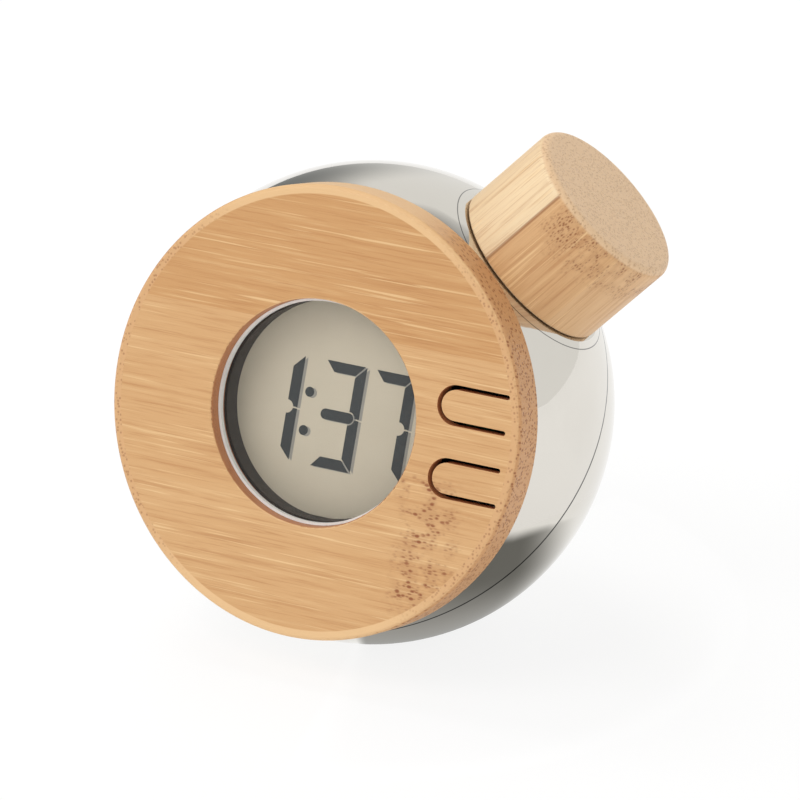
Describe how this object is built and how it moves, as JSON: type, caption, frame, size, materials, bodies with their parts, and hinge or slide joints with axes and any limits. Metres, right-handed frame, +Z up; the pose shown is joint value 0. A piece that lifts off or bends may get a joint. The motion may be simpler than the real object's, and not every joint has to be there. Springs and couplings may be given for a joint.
{
  "type": "desk clock",
  "caption": "Ball-shaped desk clock with a tilted round bamboo panel, liquid crystal display, bending bamboo buttons and a screw cap over the neck of its water tank.",
  "frame": {"origin": "centre of the flat that the clock stands on", "axes": "+Z up, the panel faces -Y and leans back, +X to the right seen from the front"},
  "size_m": [0.0944, 0.0763, 0.0926],
  "materials": {
    "chrome_shell": "mirror plating on plastic",
    "bamboo": "laminated bamboo, fine sanded",
    "light_trim": "gloss",
    "clear_lens": "clear",
    "display": "matt reflective display",
    "dark_plastic": "fine texture",
    "contact_rubber": "matt",
    "board": "solder mask",
    "chip_resin": "gloss",
    "steel": "plain",
    "white_plastic": "natural",
    "tank_plastic": "natural, milky",
    "copper": "plain copper",
    "zinc": "plain zinc",
    "brass": "plain",
    "seal_rubber": "matt"
  },
  "bodies": {
    "case": {"front_shell": "chrome_shell", "rear_shell": "chrome_shell", "front_panel": "bamboo", "window_bezel": "light_trim", "window_lens": "clear_lens", "lcd_panel": "display", "module_housing": "dark_plastic", "zebra_strips": "contact_rubber", "circuit_board": "board", "switch_bodies": "dark_plastic", "chip_cover": "chip_resin", "quartz_crystal": "steel", "backup_capacitor": "steel", "module_screws": "steel", "board_screws": "steel", "water_tank": "tank_plastic", "tank_lid": "tank_plastic", "positive_electrode": "copper", "negative_electrode": "zinc", "electrode_seals": "seal_rubber", "terminal_strips": "brass", "electrode_nuts": "brass"},
    "cap_seal": {"cap_seal": "seal_rubber"},
    "cap": {"cap_wood": "bamboo", "cap_insert": "white_plastic"},
    "upper_button": {"upper_button": "bamboo", "upper_pusher": "white_plastic"},
    "lower_button": {"lower_button": "bamboo", "lower_pusher": "white_plastic"},
    "upper_plunger": {"upper_plunger": "dark_plastic"},
    "lower_plunger": {"lower_plunger": "dark_plastic"}
  },
  "joints": [
    {"name": "cap_rise", "type": "slide", "parent": "case", "child": "cap_seal", "axis": [0.682, 0.1979, 0.7041], "range_m": [0, 0.0061]},
    {"name": "cap_turn", "type": "hinge", "parent": "cap_seal", "child": "cap", "pos_m": [0.03205, 0.0093, 0.07359], "axis": [0.682, 0.1979, 0.7041], "range_deg": [0, 720]},
    {"name": "upper_button_press", "type": "hinge", "parent": "case", "child": "upper_button", "pos_m": [0.0366, -0.01831, 0.05229], "axis": [0, -0.2706, -0.9627], "range_deg": [0, 2.2], "stiffness_Nm_per_rad": 0.3},
    {"name": "upper_plunger_travel", "type": "slide", "parent": "case", "child": "upper_plunger", "axis": [0, 0.9627, -0.2706], "range_m": [0, 0.00032]},
    {"name": "lower_button_press", "type": "hinge", "parent": "case", "child": "lower_button", "pos_m": [0.0366, -0.02177, 0.03997], "axis": [0, -0.2706, -0.9627], "range_deg": [0, 2.2], "stiffness_Nm_per_rad": 0.3},
    {"name": "lower_plunger_travel", "type": "slide", "parent": "case", "child": "lower_plunger", "axis": [0, 0.9627, -0.2706], "range_m": [0, 0.00032]}
  ],
  "couplings": [
    {"joint": "cap_rise", "follows": "cap_turn", "m_per_rad": 0.00047746},
    {"joint": "upper_plunger_travel", "follows": "upper_button_press", "m_per_rad": 0.0078131},
    {"joint": "lower_plunger_travel", "follows": "lower_button_press", "m_per_rad": 0.0078131}
  ]
}
